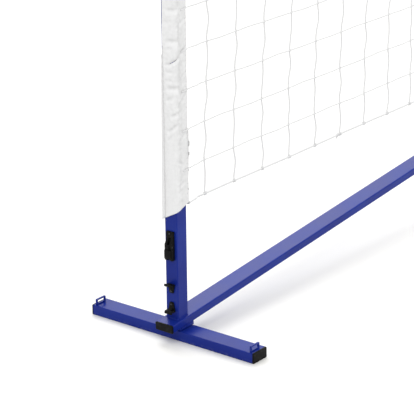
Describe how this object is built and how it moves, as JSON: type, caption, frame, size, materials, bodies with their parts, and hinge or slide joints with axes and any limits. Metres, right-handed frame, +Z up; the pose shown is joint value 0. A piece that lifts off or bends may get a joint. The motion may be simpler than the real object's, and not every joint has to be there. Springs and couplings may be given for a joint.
{
  "type": "tennis net post",
  "caption": "End post of a portable tennis net: square post on a swivelling foot, rising crossbar half with a snap coupling, cam tensioner, cord hooks, head sheave, cloth sleeve and net end.",
  "frame": {"origin": "on the floor, under the axis of the swivel between the foot and the crossbar, 6.7 mm from the middle of the foot's underside", "axes": "+X along the crossbar and the net, away from the post; +Z up; Y along the foot, with the near end at -Y"},
  "size_m": [1.2414, 0.475, 0.943],
  "materials": {
    "blue_paint": "semi-gloss blue powder coat on steel",
    "black_plastic": "moulded black plastic",
    "zinc_steel": "zinc plated",
    "dark_steel": "black zinc plated",
    "white_cloth": "white woven cloth",
    "white_cord": "white braided cord"
  },
  "bodies": {
    "frame": {"swivel_bolt": "zinc_steel", "swivel_washer": "zinc_steel", "swivel_pad": "black_plastic", "crossbar_saddle": "blue_paint", "taper_washer": "zinc_steel", "swivel_nut": "zinc_steel", "crossbar_tube": "blue_paint", "crossbar_end_cap": "black_plastic", "coupling_spigot": "blue_paint", "spigot_rivet_near": "zinc_steel", "spigot_rivet_far": "zinc_steel", "button_clip": "zinc_steel", "post_tube": "blue_paint", "post_top_cap": "black_plastic", "sheave_axle": "zinc_steel", "tensioner_body": "black_plastic", "lever_pin": "dark_steel", "tensioner_screw_lower": "dark_steel", "tensioner_screw_upper": "dark_steel", "cord_hook_upper": "black_plastic", "cord_hook_lower": "black_plastic", "hook_screw_upper": "dark_steel", "hook_screw_lower": "dark_steel", "net_sleeve": "white_cloth", "net_mesh": "white_cord", "net_bottom_cord": "white_cord", "net_headband": "white_cloth", "net_side_band": "white_cloth"},
    "foot": {"foot_tube": "blue_paint", "foot_end_cap_near": "black_plastic", "foot_end_cap_far": "black_plastic", "strap_loop_near": "blue_paint", "strap_loop_far": "blue_paint"},
    "lever": {"tension_lever": "black_plastic"},
    "sheave": {"head_sheave": "black_plastic"},
    "button": {"snap_button": "zinc_steel"}
  },
  "joints": [
    {"name": "foot_swivel", "type": "hinge", "parent": "frame", "child": "foot", "pos_m": [0, 0, 0.025], "axis": [0, 0, 1], "range_deg": [0, 90]},
    {"name": "tension_lever_swing", "type": "hinge", "parent": "frame", "child": "lever", "pos_m": [-0.0328, 0, 0.229], "axis": [0, 1, 0], "range_deg": [0, 110]},
    {"name": "head_sheave_spin", "type": "hinge", "parent": "frame", "child": "sheave", "pos_m": [-0.0015, 0, 0.931], "axis": [0, 1, 0], "continuous": true},
    {"name": "snap_button_press", "type": "slide", "parent": "frame", "child": "button", "axis": [-0.0906, 0, 0.9959], "range_m": [-0.004, 0], "stiffness_N_per_m": 1500, "springref_m": 0.002, "deforming": ["button_clip"]}
  ]
}
